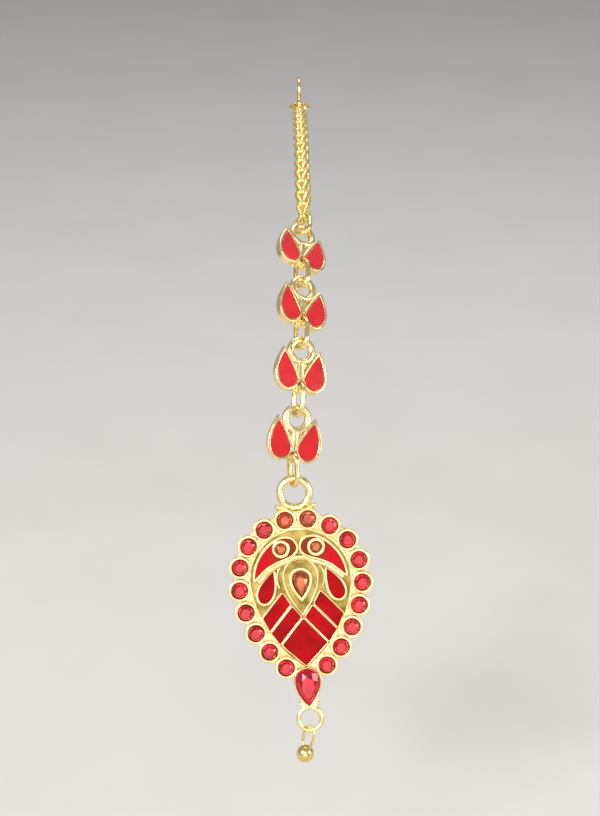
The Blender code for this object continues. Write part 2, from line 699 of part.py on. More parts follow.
def make_strand(distance, place):
    """Hang the ring, the leaf and oval links and the pendant, one below the other."""
    leaf_mesh = leaf_casting().data.copy()
    remove_helpers()
    from_eye = Vector((0, LEAF_EYE_HOLE - HOLE_GAP - OVAL_WIRE / 2, 0))
    from_hole = Vector((0, -LEAF_HOLE_DOWN, 0))
    inside_bail = BAIL_RADIUS - (BAIL_WIRE + OVAL_WIRE) / 2 - PASS_GAP
    for name, lean, turn in STRAND:
        if name.startswith("leaf"):
            holding, letting = from_eye, from_hole
        elif name.startswith("oval"):
            holding, letting = Vector((0, 0, 0)), Vector((0, OVAL_WIRE - OVAL_LENGTH, 0))
        elif name == "chain_ring":
            holding, letting = Vector((0, 0, 0)), Vector((0, CHAIN_RING_WIRE - CHAIN_RING_LENGTH, 0))
        else:
            holding, letting = Vector((0, BAIL_UP + inside_bail, RING_FROM_BACK)), Vector((0, 0, 0))
        length = (letting - holding).length
        angle = upward_angle(distance + (length / 2 if name != "pendant" else 0))
        frame = hang(place, angle, lean * DEGREE, turn * DEGREE, holding)
        if name.startswith("leaf"):
            make_leaf_link(name, frame, leaf_mesh)
        elif name.startswith("oval"):
            path = oval_path(OVAL_LENGTH, OVAL_WIDTH, OVAL_WIRE)
            finish(wire(path, OVAL_WIRE), name, "link_gold", frame)
        elif name == "chain_ring":
            path = oval_path(CHAIN_RING_LENGTH, CHAIN_RING_WIDTH, CHAIN_RING_WIRE)
            finish(wire(path, CHAIN_RING_WIRE), name, "link_gold", frame)
        else:
            make_pendant(frame)
            make_drop(frame, angle)
        place = frame @ letting
        distance += length


def remove_helpers():
    for thing in list(PARTS.objects):
        if thing.name.split(".")[0] in ("stack", "joined", "wire", "ball"):
            bpy.data.objects.remove(thing)


clear_scene()
PARTS = make_collection("maang_tikka")
MATERIALS = {name: make_material(name) for name in COLOURS}
make_strand(*make_chain(make_hook_ring(make_hook())))
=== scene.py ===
import math

import bmesh
import bpy
from mathutils import Matrix, Vector


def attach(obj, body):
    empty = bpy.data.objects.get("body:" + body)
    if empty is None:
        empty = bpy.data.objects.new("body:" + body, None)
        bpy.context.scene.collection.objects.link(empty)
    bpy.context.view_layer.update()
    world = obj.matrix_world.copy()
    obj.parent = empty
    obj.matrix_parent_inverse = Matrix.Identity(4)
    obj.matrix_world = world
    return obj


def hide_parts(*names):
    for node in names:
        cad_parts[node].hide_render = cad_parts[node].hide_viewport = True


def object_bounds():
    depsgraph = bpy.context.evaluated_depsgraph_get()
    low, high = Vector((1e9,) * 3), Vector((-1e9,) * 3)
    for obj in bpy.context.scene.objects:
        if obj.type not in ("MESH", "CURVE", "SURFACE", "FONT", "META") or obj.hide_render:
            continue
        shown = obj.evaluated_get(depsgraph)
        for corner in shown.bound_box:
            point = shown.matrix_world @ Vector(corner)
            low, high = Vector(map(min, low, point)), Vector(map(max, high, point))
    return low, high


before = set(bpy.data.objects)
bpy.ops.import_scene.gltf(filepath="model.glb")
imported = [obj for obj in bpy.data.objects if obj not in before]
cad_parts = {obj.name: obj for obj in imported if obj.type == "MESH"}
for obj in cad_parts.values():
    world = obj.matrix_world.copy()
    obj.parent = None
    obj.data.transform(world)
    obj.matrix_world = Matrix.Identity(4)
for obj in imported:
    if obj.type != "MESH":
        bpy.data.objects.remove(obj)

cad_low, cad_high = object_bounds()

MM = 0.001
DEGREE = math.pi / 180

# The way of the strand, as the solids have it
CROWN_START_ANGLE = 92.6 * DEGREE
CROWN_RADIUS = 120 * MM
CROWN_LENGTH = 54.8 * MM
BROW_RADIUS = 80.2 * MM

# Hook and its ring
HOOK_WIRE = 0.8 * MM
HOOK_BEND_RADIUS = 2.9 * MM
HOOK_STEM = 2.3 * MM
HOOK_EYE_RADIUS = 1.35 * MM
HOOK_EYE_TURN = 318 * DEGREE
HOOK_TIP_LENGTH = 5.0 * MM
HOOK_TIP_FLARE = 0.9 * MM
HOOK_RING_RADIUS = 2.05 * MM
HOOK_RING_WIRE = 0.9 * MM

# Chain and its rings. The strands are drawn much fuller than the solids' wire, so that the braid closes,
# but only a little fuller in the first and last link.
CHAIN_LINKS = 13
CHAIN_PITCH = 3.96 * MM
CHAIN_WIDTH = 2.6 * MM
CHAIN_DEPTH = 2.82 * MM
CHAIN_WIRE = 0.62 * MM
CHAIN_STRAND = 1.12 * MM
CHAIN_END_STRAND = 0.66 * MM
CHAIN_TURN = -14 * DEGREE
CHAIN_END_LENGTH = 3.0 * MM
CHAIN_END_WIDTH = 2.4 * MM
CHAIN_RING_LENGTH = 5.9 * MM
CHAIN_RING_WIDTH = 4.3 * MM
CHAIN_RING_WIRE = 0.9 * MM
PASS_GAP = 0.12 * MM

# Oval links
OVAL_LENGTH = 7.22 * MM
OVAL_WIDTH = 4.7 * MM
OVAL_WIRE = 1.0 * MM
HOLE_GAP = 0.35 * MM

# Leaf links
LEAF_THICKNESS = 1.5 * MM
LEAF_EYE_RADIUS = 2.85 * MM
LEAF_EYE_HOLE = 1.55 * MM
LEAF_HOLE_DOWN = 6.95 * MM
LEAF_HOLE_RADIUS = 0.85 * MM
LEAF_COLLAR = 0.18 * MM
LEAF_BAR_WIDTH = 2.6 * MM
LEAF_BAR_BOTTOM = 8.62 * MM
LEAF_WEB_TOP = 2.4 * MM
LEAF_RIM = 0.62 * MM
ENAMEL_DEPTH = 0.5 * MM
ENAMEL_GAP = 0.04 * MM

# Pendant
PEAR_TOP_RADIUS = 12.1 * MM
PEAR_TOP_DOWN = 11.8 * MM
PEAR_SIDE_RADIUS = 25.7 * MM
PEAR_SIDE_DOWN = 9.86 * MM
PLATE_THICKNESS = 0.9 * MM
PLATE_MARGIN = 1.1 * MM
PANEL_INSET = 1.9 * MM
PANEL_WALL = 0.4 * MM
PANEL_GROUND = 1.62 * MM
PANEL_HEIGHT = 2.0 * MM
CUP_COUNT = 18
TOP_STONES = (1, 10)
CUP_PITCH = 4.5 * MM
CUP_RADIUS = 2.05 * MM
CUP_RIM_RADIUS = 2.19 * MM
CUP_WALL = 0.42 * MM
CUP_HEIGHT = 2.6 * MM
CUP_FLOOR = 1.3 * MM
STONE_HEIGHT = 1.9 * MM
STONE_GAP = 0.05 * MM
EYE_CUP_RADIUS = 1.8 * MM
EYE_STONE_RADIUS = 1.05 * MM
RIDGE_HEIGHT = 2.4 * MM
RIDGE_WALL = 0.36 * MM
CHANNEL_FLOOR = 1.7 * MM
COLLET_HEIGHT = 2.8 * MM
COLLET_WALL = 0.6 * MM
TEAR_WALL = 0.35 * MM
LOZENGE_WALL = 0.26 * MM
HORN_WALL = 0.44 * MM
ARCH_WALL = 0.5 * MM
CELL_HEIGHT = 2.2 * MM
WALL_ROUNDING = 0.09 * MM
BAIL_RADIUS = 2.88 * MM
BAIL_WIRE = 1.55 * MM
BAIL_UP = 5.2 * MM
FOOT_RING_RADIUS = 2.15 * MM
FOOT_RING_WIRE = 0.7 * MM
FOOT_RING_FULLNESS = 0.95 * MM
FOOT_RING_DOWN = 39.3 * MM
RING_FROM_BACK = 0.9 * MM
LUG_BACK = 0.1 * MM
LUG_FRONT = 1.15 * MM
BAIL_GRANULE = 0.55 * MM
FOOT_GRANULE = 0.4 * MM
ROPE_BEAD = 0.48 * MM
ROPE_OFFSET = 0.82 * MM
ROPE_HEIGHT = 2.05 * MM
ROPE_BEADS = 23

# Bead drop
DROP_WIRE = 0.5 * MM
DROP_LOOP_LENGTH = 4.6 * MM
DROP_LOOP_WIDTH = 2.5 * MM
DROP_BEAD_RADIUS = 1.75 * MM
DROP_BEAD_DOWN = 5.5 * MM
DROP_LEAN = -12 * DEGREE
DROP_TURN = 50 * DEGREE

# (piece, lean in degrees, turn in degrees)
STRAND = (
    ("chain_ring", -4.0, 60),
    ("leaf_link_1", -2.5, 30),
    ("oval_link_1", 2.5, 40),
    ("leaf_link_2", -2.5, 30),
    ("oval_link_2", -1.5, 36),
    ("leaf_link_3", -3.0, 22),
    ("oval_link_3", -5.5, 28),
    ("leaf_link_4", -6.5, 15),
    ("oval_link_4", 1.5, 22),
    ("pendant", 3.6, 0),
)

# A quarter of a chain link, from its fold up its leg to the middle of its ear
# (right share of half width, front share of half depth, up share of pitch)
CHAIN_LINK = (
    (0.34, 0.00, 0.00),
    (0.34, 0.76, -0.005),
    (0.38, 0.99, 0.19),
    (0.90, 0.95, 0.60),
    (1.00, 0.63, 1.00),
    (0.62, 0.43, 1.145),
    (0.00, 0.38, 1.18),
)

# Outlines on the castings, as (right, down) in millimetres
LEAF = (
    (3.85, -0.35), (4.95, 2.1), (5.52, 4.8), (4.85, 7.35), (2.95, 8.6),
    (1.05, 7.9), (0.12, 6.0), (1.2, 3.4), (2.6, 1.1),
)
HORN_INNER = ((0.45, 5.6), (0.75, 4.45), (1.4, 3.75), (2.4, 3.5))
HORN_ARC_RADIUS = 8.95 * MM
HORN_ARC_START = 24 * DEGREE
HORN_ARC_END = 86 * DEGREE
HORN_LOWER = ((8.9, 11.3), (7.6, 9.95), (6.5, 9.05), (5.1, 8.25), (3.75, 7.7), (2.3, 7.2), (1.1, 6.6))
EYE_PLACE = (3.45, 5.5)
LOZENGE_OUTER = ((3.75, 14.2), (7.9, 18.85), (6.7, 21.45), (2.35, 16.55))
LOZENGE_INNER = ((2.0, 16.95), (6.4, 21.9), (4.8, 24.1), (0.4, 19.1))
LOZENGE_MIDDLE = ((0.0, 19.4), (4.4, 24.35), (0.0, 28.6), (-4.4, 24.35))
ARCH = ((2.7, 8.5), (3.6, 8.85), (4.25, 9.6), (4.6, 10.9), (4.6, 12.2), (4.25, 13.2))
# How far aside a tear's curve goes at its widest, before it is drawn out to its width
TEAR_WIDEST = 0.77
# Tears, as round end right, down, tip right, down, width
SIDE_TEAR = (7.75, 15.85, 5.3, 9.95, 2.9)
RIDGE_TEAR = (0.0, 7.45, 0.0, 18.9, 7.1)
CENTRE_TEAR = (0.0, 9.9, 0.0, 15.2, 3.4)
FOOT_TEAR = (0.0, 28.8, 0.0, 37.15, 5.6)
BAIL_GRANULE_PLACE = (3.6, -2.55)
FOOT_GRANULE_PLACE = (1.75, 36.3)
BAIL_LUG = ((0.0, -2.9), (3.7, -2.8), (3.4, -1.9), (2.2, 0.2), (0.0, 0.2))
FOOT_LUG = ((0.0, 34.2), (1.3, 34.6), (1.9, 36.2), (1.3, 37.5), (0.0, 37.4))

# A stone's cut: share of its height, share of its girdle, sides, turn in half sides
STONE_CUT = ((0.0, 0.3, 8, 0), (0.4, 1.0, 16, 0), (0.5, 1.0, 16, 0), (0.8, 0.82, 8, 1), (1.0, 0.56, 8, 0))


# Points and outlines

def to_outline(table):
    return [(right * MM, -down * MM) for right, down in table]


def mirrored(outline):
    return [(-x, y) for x, y in reversed(outline)]


def arc(x, y, radius, start, end, steps):
    """Points on an arc, with angles measured from straight up towards the right."""
    angles = [start + (end - start) * i / steps for i in range(steps + 1)]
    return [(x + radius * math.sin(a), y + radius * math.cos(a)) for a in angles]


def circle(x, y, radius, sides):
    return arc(x, y, radius, 0, 2 * math.pi * (sides - 1) / sides, sides - 1)


def smoothed(points, corners=(), steps=4):
    """A closed curve through the points that stays sharp at the numbered corners."""
    count = len(points)
    curve = []
    for i in range(count):
        here = Vector(points[i])
        after = Vector(points[(i + 1) % count])
        before = here if i in corners else Vector(points[i - 1])
        beyond = after if (i + 1) % count in corners else Vector(points[(i + 2) % count])
        for step in range(steps):
            t = step / steps
            curve.append(0.5 * (
                2 * here
                + (after - before) * t
                + (2 * before - 5 * here + 4 * after - beyond) * t * t
                + (3 * here - before - 3 * after + beyond) * t * t * t
            ))
    return [tuple(point) for point in curve]


def nearness(outline, place):
    """The distance from place to the nearest edge of the outline."""
    nearest = math.inf
    for start, end in zip(outline, outline[1:] + outline[:1]):
        edge = Vector(end) - Vector(start)
        share = max(0, min(1, (place - Vector(start)).dot(edge) / edge.length_squared))
        nearest = min(nearest, (Vector(start) + edge * share - place).length)
    return nearest


def shrunk(outline, distance):
    """The outline moved inwards, less the points that would come too near the other side."""
    area = sum(a[0] * b[1] - b[0] * a[1] for a, b in zip(outline, outline[1:] + outline[:1]))
    side = 1 if area > 0 else -1
    moved = []
    for i, point in enumerate(outline):
        here = Vector(point)
        arriving = (here - Vector(outline[i - 1])).normalized()
        leaving = (Vector(outline[(i + 1) % len(outline)]) - here).normalized()
        inward = Vector((-(arriving + leaving).y, (arriving + leaving).x)).normalized() * side
        reach = distance / max(0.3, math.sqrt((1 + arriving.dot(leaving)) / 2))
        there = here + inward * reach
        if nearness(outline, there) > distance * 0.97:
            moved.append(tuple(there))
    return moved


def grown(outline, distance):
    """The outline moved outwards, with its sharp tips kept short."""
    area = sum(a[0] * b[1] - b[0] * a[1] for a, b in zip(outline, outline[1:] + outline[:1]))
    side = 1 if area > 0 else -1
    moved = []
    for i, point in enumerate(outline):
        here = Vector(point)
        arriving = (here - Vector(outline[i - 1])).normalized()
        leaving = (Vector(outline[(i + 1) % len(outline)]) - here).normalized()
        outward = Vector(((arriving + leaving).y, -(arriving + leaving).x)).normalized() * side
        there = here + outward * distance / max(0.65, math.sqrt((1 + arriving.dot(leaving)) / 2))
        if nearness(outline, there) > distance * 0.97:
            moved.append(tuple(there))
    return moved


def softened(outline, radius, steps=3):
    """The outline with each corner turned into a short curve."""
    curve = []
    for i, point in enumerate(outline):
        corner = Vector(point)
        before = Vector(outline[i - 1]) - corner
        after = Vector(outline[(i + 1) % len(outline)]) - corner
        start = corner + before.normalized() * radius
        end = corner + after.normalized() * radius
        for step in range(steps + 1):
            t = step / steps
            curve.append(tuple(start * (1 - t) ** 2 + corner * 2 * t * (1 - t) + end * t * t))
    return curve


def tear(round_right, round_down, tip_right, tip_down, width, inset=0.0, steps=36):
    """A tear from the middle of its round end's edge to its tip."""
    far = Vector((round_right * MM, -round_down * MM))
    tip = Vector((tip_right * MM, -tip_down * MM))
    along = (tip - far).normalized()
    across = Vector((-along.y, along.x))
    middle = (tip + far) / 2
    half_length = (tip - far).length / 2
    outline = []
    for i in range(steps):
        turn = 2 * math.pi * i / steps
        reach = math.cos(turn) * half_length
        spread = math.sin(turn) * abs(math.sin(turn / 2)) * width * MM / 2 / TEAR_WIDEST
        point = middle + along * reach + across * spread
        outline.append((point.x, point.y))
    return shrunk(outline, inset) if inset else outline


def pear_meeting():
    """The angle from the top at which the arcs meet, and how far aside the long arc's middle is."""
    between = PEAR_SIDE_RADIUS - PEAR_TOP_RADIUS
    lift = PEAR_TOP_DOWN - PEAR_SIDE_DOWN
    return math.pi / 2 + math.asin(lift / between), math.sqrt(between ** 2 - lift ** 2)


def pear_point(length):
    """The point this far down the right side of the ring of stones from its top."""
    meeting, aside = pear_meeting()
    top_length = PEAR_TOP_RADIUS * meeting
    if length < top_length:
        turn = length / PEAR_TOP_RADIUS
        return PEAR_TOP_RADIUS * math.sin(turn), PEAR_TOP_RADIUS * math.cos(turn) - PEAR_TOP_DOWN
    turn = meeting + (length - top_length) / PEAR_SIDE_RADIUS
    return PEAR_SIDE_RADIUS * math.sin(turn) - aside, PEAR_SIDE_RADIUS * math.cos(turn) - PEAR_SIDE_DOWN


def pear(offset, steps=24):
    """The whole pear, moved outwards by offset, ending in its point at the foot."""
    meeting, aside = pear_meeting()
    foot = math.pi - math.asin(aside / (PEAR_SIDE_RADIUS + offset))
    top = arc(0, -PEAR_TOP_DOWN, PEAR_TOP_RADIUS + offset, 0, meeting, steps)
    side = arc(-aside, -PEAR_SIDE_DOWN, PEAR_SIDE_RADIUS + offset, meeting, foot, steps)
    right_half = top + side[1:]
    return right_half + mirrored(right_half)[1:-1]


# The way of the strand

def upward_angle(distance):
    over_crown = min(distance, CROWN_LENGTH)
    down_brow = max(distance - CROWN_LENGTH, 0)
    return CROWN_START_ANGLE - over_crown / CROWN_RADIUS - down_brow / BROW_RADIUS


def hang(place, angle, lean, turn, holding):
    """The frame of a piece whose point holding is at place."""
    up = Vector((-math.sin(lean), math.cos(lean) * math.sin(angle), math.cos(lean) * math.cos(angle)))
    front = Vector((0, -math.cos(angle), math.sin(angle)))
    right = up.cross(front).normalized()
    front = right.cross(up)
    axes = Matrix((right, up, front)).transposed().to_4x4()
    return Matrix.Translation(place) @ axes @ Matrix.Rotation(turn, 4, "Y") @ Matrix.Translation(-holding)


# Bench work

def take(thing):
    bpy.ops.object.select_all(action="DESELECT")
    thing.select_set(True)
    bpy.context.view_layer.objects.active = thing
    return thing


def edit(thing, kind="FACE"):
    take(thing)
    bpy.ops.object.mode_set(mode="EDIT")
    bpy.ops.mesh.select_mode(type=kind)
    bpy.ops.mesh.select_all(action="SELECT")


def leave():
    bpy.ops.mesh.select_all(action="SELECT")
    bpy.ops.mesh.normals_make_consistent(inside=False)
    bpy.ops.object.mode_set(mode="OBJECT")
    return bpy.context.object


def pick_faces(test):
    """Select the faces whose middle and normal pass the test."""
    bpy.ops.mesh.select_all(action="DESELECT")
    mesh = bpy.context.object.data
    shape = bmesh.from_edit_mesh(mesh)
    for face in shape.faces:
        face.select_set(test(face.calc_center_median(), face.normal))
    bmesh.update_edit_mesh(mesh)


def lift(height):
    bpy.ops.transform.translate(value=(0, 0, height))


def pull(height):
    bpy.ops.mesh.extrude_region_move(TRANSFORM_OT_translate={"value": (0, 0, height)})


def drawn(points, closed=True):
    """Lines drawn from point to point."""
    path = [Vector((*point, 0)) if len(point) == 2 else Vector(point) for point in points]
    bpy.ops.object.select_all(action="DESELECT")
    bpy.ops.mesh.primitive_plane_add(size=MM)
    bpy.ops.object.mode_set(mode="EDIT")
    bpy.ops.mesh.select_mode(type="VERT")
    bpy.ops.mesh.merge(type="CENTER")
    bpy.ops.transform.translate(value=path[0])
    for here, there in zip(path, path[1:]):
        bpy.ops.mesh.extrude_vertices_move(TRANSFORM_OT_translate={"value": there - here})
    thing = bpy.context.object
    if closed:
        shape = bmesh.from_edit_mesh(thing.data)
        shape.verts.ensure_lookup_table()
        shape.verts[0].select_set(True)
        bmesh.update_edit_mesh(thing.data)
        bpy.ops.mesh.edge_face_add()
    bpy.ops.object.mode_set(mode="OBJECT")
    return thing


def filled(points):
    thing = drawn(points)
    edit(thing, "VERT")
    bpy.ops.mesh.edge_face_add()
    bpy.ops.object.mode_set(mode="OBJECT")
    return thing


def rounded_crest(height, rounding):
    """Round the edges of the flat faces at this height, upwards."""
    bpy.ops.mesh.select_mode(type="FACE")
    pick_faces(lambda middle, normal: abs(middle.z - height) < 0.001 * MM and normal.z > 0.9)
    bpy.ops.mesh.inset(thickness=rounding * 0.3, depth=rounding * 0.6, use_even_offset=False)
    bpy.ops.mesh.inset(thickness=rounding * 0.7, depth=rounding * 0.4, use_even_offset=False)


def raised(points, bottom, top):
    """A straight-sided solid on an outline."""
    thing = filled(points)
    edit(thing)
    lift(bottom)
    pull(top - bottom)
    return leave()


def drilled(thing, outline, bottom, top):
    """Cut a straight hollow on an outline."""
    hollow = raised(outline, bottom, top)
    take(thing)
    bpy.ops.object.modifier_add(type="BOOLEAN")
    thing.modifiers[-1].operation = "DIFFERENCE"
    thing.modifiers[-1].solver = "EXACT"
    thing.modifiers[-1].object = hollow
    bpy.ops.object.modifier_apply(modifier=thing.modifiers[-1].name)
    bpy.data.objects.remove(hollow)
    return thing


def tray(inner, outer, bottom, floor, top, rounding=WALL_ROUNDING):
    """A solid on the outer outline, sunk to its floor within the inner one, with a rounded wall."""
    crest = top - rounding
    thing = drilled(raised(outer, bottom, crest), inner, floor, crest + 1 * MM)
    edit(thing)
    rounded_crest(crest, rounding)
    return leave()


def block(thing, bottom, top, rounding):
    """Raise a flat outline into a solid with a rounded upper edge."""
    edit(thing)
    lift(bottom)
    pull(top - rounding - bottom)
    bpy.ops.mesh.select_all(action="SELECT")
    bpy.ops.mesh.normals_make_consistent(inside=False)
    rounded_crest(top - rounding, rounding)
    return leave()


def bent_wire(points, thickness, closed=True, roundness=4):
    """Wire of this thickness along the points."""
    thing = take(drawn(points, closed))
    bpy.ops.object.convert(target="CURVE")
    thing = bpy.context.object
    thing.data.bevel_depth = thickness / 2
    thing.data.bevel_resolution = roundness
    thing.data.use_fill_caps = not closed
    bpy.ops.object.convert(target="MESH")
    thing = bpy.context.object
    edit(thing, "VERT")
    bpy.ops.mesh.remove_doubles(threshold=0.001 * MM)
    return leave()


def ring(x, y, z, radius, thickness, flatness=1.0):
    """A ring that lies in the casting's plane."""
    bpy.ops.object.select_all(action="DESELECT")
    bpy.ops.mesh.primitive_torus_add(
        major_radius=radius, minor_radius=thickness / 2, major_segments=56, minor_segments=18)
    thing = bpy.context.object
    edit(thing, "VERT")
    bpy.ops.transform.resize(value=(1, 1, flatness), center_override=(0, 0, 0))
    bpy.ops.transform.translate(value=(x, y, z))
    return leave()


def granule(x, y, z, radius):
    bpy.ops.object.select_all(action="DESELECT")
    bpy.ops.mesh.primitive_uv_sphere_add(segments=24, ring_count=14, radius=radius)
    thing = bpy.context.object
    edit(thing, "VERT")
    bpy.ops.transform.translate(value=(x, y, z))
    return leave()


def copied(thing, place=Matrix()):
    twin = thing.copy()
    twin.data = thing.data.copy()
    bpy.context.scene.collection.objects.link(twin)
    return set_in(twin, place)


def set_in(thing, place):
    """Set a piece in its frame, with its place in its mesh."""
    take(thing)
    thing.matrix_world = place
    bpy.ops.object.transform_apply(location=True, rotation=True, scale=True)
    return thing


def other_side(thing):
    """The same shape on the left of the casting."""
    twin = copied(thing)
    edit(twin)
    bpy.ops.transform.resize(value=(-1, 1, 1), center_override=(0, 0, 0))
    return leave()


def both_sides(thing):
    return [thing, other_side(thing)]


def joined(things):
    bpy.ops.object.select_all(action="DESELECT")
    for thing in things:
        thing.select_set(True)
    bpy.context.view_layer.objects.active = things[0]
    bpy.ops.object.join()
    return bpy.context.object


def coat_floor(thing, height, first, second):
    """Give a tray its wall's finish and another, darker one on its floor, as painted shade in the hollow."""
    thing.data.materials.append(first)
    thing.data.materials.append(second)
    for face in thing.data.polygons:
        if abs(face.center.z - height) < 0.001 * MM and face.normal.z > 0.9:
            face.material_index = 1
    return thing


def hand_over(thing, name, node, finish=None, smooth=38 * DEGREE):
    """Name a finished piece and let it stand for its solid."""
    thing.name = name
    thing.data.name = name
    take(thing)
    if finish is not None:
        thing.data.materials.clear()
        thing.data.materials.append(finish)
    if smooth:
        bpy.ops.object.shade_smooth_by_angle(angle=smooth)
        bpy.ops.object.modifier_add(type="WEIGHTED_NORMAL")
        thing.modifiers[-1].keep_sharp = True
        bpy.ops.object.modifier_apply(modifier=thing.modifiers[-1].name)
    else:
        bpy.ops.object.shade_flat()
    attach(thing, "root")
    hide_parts(node)
    return thing


# Finishes

def new_finish(name, colour, metallic, roughness, coat=0.0, coat_roughness=0.03):
    finish = bpy.data.materials.new(name)
    finish.use_nodes = True
    shader = finish.node_tree.nodes["Principled BSDF"]
    shader.inputs["Base Color"].default_value = (*colour, 1)
    shader.inputs["Metallic"].default_value = metallic
    shader.inputs["Roughness"].default_value = roughness
    shader.inputs["Coat Weight"].default_value = coat
    shader.inputs["Coat Roughness"].default_value = coat_roughness
    return finish


def noise(finish, scale, detail=3.0):
    """Cloudy values over the piece, scale spots to the metre."""
    nodes, links = finish.node_tree.nodes, finish.node_tree.links
    where = nodes.new("ShaderNodeTexCoord")
    clouds = nodes.new("ShaderNodeTexNoise")
    clouds.inputs["Scale"].default_value = scale
    clouds.inputs["Detail"].default_value = detail
    links.new(where.outputs["Object"], clouds.inputs["Vector"])
    return clouds.outputs["Fac"]


def mottle(finish, scale, dark, light, start=0.35, end=0.65):
    """Let the colour wander between dark and light."""
    nodes, links = finish.node_tree.nodes, finish.node_tree.links
    ramp = nodes.new("ShaderNodeValToRGB")
    ramp.color_ramp.elements[0].position = start
    ramp.color_ramp.elements[0].color = (*dark, 1)
    ramp.color_ramp.elements[1].position = end
    ramp.color_ramp.elements[1].color = (*light, 1)
    links.new(noise(finish, scale), ramp.inputs["Fac"])
    links.new(ramp.outputs["Color"], nodes["Principled BSDF"].inputs["Base Color"])


def uneven_polish(finish, scale, low, high):
    nodes, links = finish.node_tree.nodes, finish.node_tree.links
    span = nodes.new("ShaderNodeMapRange")
    span.inputs["From Min"].default_value = 0.3
    span.inputs["From Max"].default_value = 0.7
    span.inputs["To Min"].default_value = low
    span.inputs["To Max"].default_value = high
    links.new(noise(finish, scale), span.inputs["Value"])
    links.new(span.outputs["Result"], nodes["Principled BSDF"].inputs["Roughness"])


def relief(finish, scale, depth, detail=3.0):
    nodes, links = finish.node_tree.nodes, finish.node_tree.links
    bump = nodes.new("ShaderNodeBump")
    bump.inputs["Strength"].default_value = 1.0
    bump.inputs["Distance"].default_value = depth
    links.new(noise(finish, scale, detail), bump.inputs["Height"])
    links.new(bump.outputs["Normal"], nodes["Principled BSDF"].inputs["Normal"])


def gold(name, dark, light, low, high, grain, depth):
    finish = new_finish(name, light, 1.0, low)
    mottle(finish, 420, dark, light)
    uneven_polish(finish, 900, low, high)
    relief(finish, grain, depth)
    return finish


def enamel(name, dark, light, gloss):
    finish = new_finish(name, light, 0.0, 0.16, coat=gloss)
    finish.node_tree.nodes["Principled BSDF"].inputs["Specular IOR Level"].default_value = gloss / 2
    mottle(finish, 260, dark, light)
    uneven_polish(finish, 700, 0.12, 0.26)
    relief(finish, 380, 0.05 * MM, detail=1.0)
    return finish


def cut_glass(name, dark, light):
    """Glass on foil: the facets mirror in the stone's own colour under a clear gloss."""
    finish = new_finish(name, light, 0.7, 0.1, coat=1.0, coat_roughness=0.01)
    mottle(finish, 500, dark, light)
    uneven_polish(finish, 1200, 0.05, 0.16)
    relief(finish, 1500, 0.008 * MM)
    return finish


def faded(finish, middle, inner, outer, start, end):
    """Let the colour go from inner to outer, away from the middle of the casting."""
    nodes, links = finish.node_tree.nodes, finish.node_tree.links
    where = nodes.new("ShaderNodeTexCoord")
    parts = nodes.new("ShaderNodeSeparateXYZ")
    links.new(where.outputs["Object"], parts.inputs["Vector"])
    shift = nodes.new("ShaderNodeMath")
    shift.operation = "SUBTRACT"
    shift.inputs[1].default_value = middle
    links.new(parts.outputs["X"], shift.inputs[0])
    aside = nodes.new("ShaderNodeMath")
    aside.operation = "ABSOLUTE"
    links.new(shift.outputs["Value"], aside.inputs[0])
    span = nodes.new("ShaderNodeMapRange")
    span.inputs["From Min"].default_value = start
    span.inputs["From Max"].default_value = end
    links.new(aside.outputs["Value"], span.inputs["Value"])
    ramp = nodes.new("ShaderNodeValToRGB")
    ramp.color_ramp.elements[0].color = (*inner, 1)
    ramp.color_ramp.elements[1].color = (*outer, 1)
    links.new(span.outputs["Result"], ramp.inputs["Fac"])
    links.new(ramp.outputs["Color"], nodes["Principled BSDF"].inputs["Base Color"])
    return finish


LINK_GOLD = gold("pale_wire_gold", (0.90, 0.66, 0.24), (0.98, 0.79, 0.38), 0.12, 0.26, 2600, 0.01 * MM)
CHAIN_GOLD = gold("braid_gold", (0.86, 0.66, 0.22), (0.96, 0.78, 0.33), 0.3, 0.42, 3000, 0.01 * MM)
CAST_GOLD = gold("cast_gold", (0.88, 0.67, 0.28), (0.99, 0.83, 0.48), 0.18, 0.34, 3200, 0.02 * MM)
# Sunk floors: real stippled grain, but coloured much darker than the walls as painted shade in the hollows.
SHADED_GROUND_GOLD = gold("stippled_ground_gold_painted_shade", (0.24, 0.16, 0.03), (0.60, 0.43, 0.13), 0.34, 0.52, 2300,
                   0.07 * MM)
BEAD_GOLD = gold("bead_gold", (0.82, 0.60, 0.20), (0.95, 0.75, 0.32), 0.08, 0.2, 2200, 0.008 * MM)
LEAF_GLAZE = enamel("leaf_glaze", (0.50, 0.001, 0.004), (0.62, 0.002, 0.008), 1.0)
PANEL_GLAZE = enamel("panel_glaze", (0.28, 0.0006, 0.002), (0.44, 0.001, 0.004), 0.08)
HORN_GLAZE = faded(enamel("horn_glaze", (0.3, 0.01, 0.004), (0.4, 0.01, 0.004), 0.08), -1.9 * MM,
                   (0.24, 0.035, 0.010), (0.52, 0.003, 0.012), 3.4 * MM, 6.2 * MM)
RED_CUT = cut_glass("red_cut_glass", (0.38, 0.002, 0.008), (0.78, 0.008, 0.035))
RUSSET_CUT = cut_glass("russet_cut_glass", (0.34, 0.03, 0.01), (0.66, 0.10, 0.03))
AMBER_CUT = cut_glass("amber_cut_glass", (0.36, 0.07, 0.015), (0.66, 0.16, 0.035))


# Pieces

def hook_frame():
    return Matrix.Rotation(90 * DEGREE - CROWN_START_ANGLE, 4, "X")


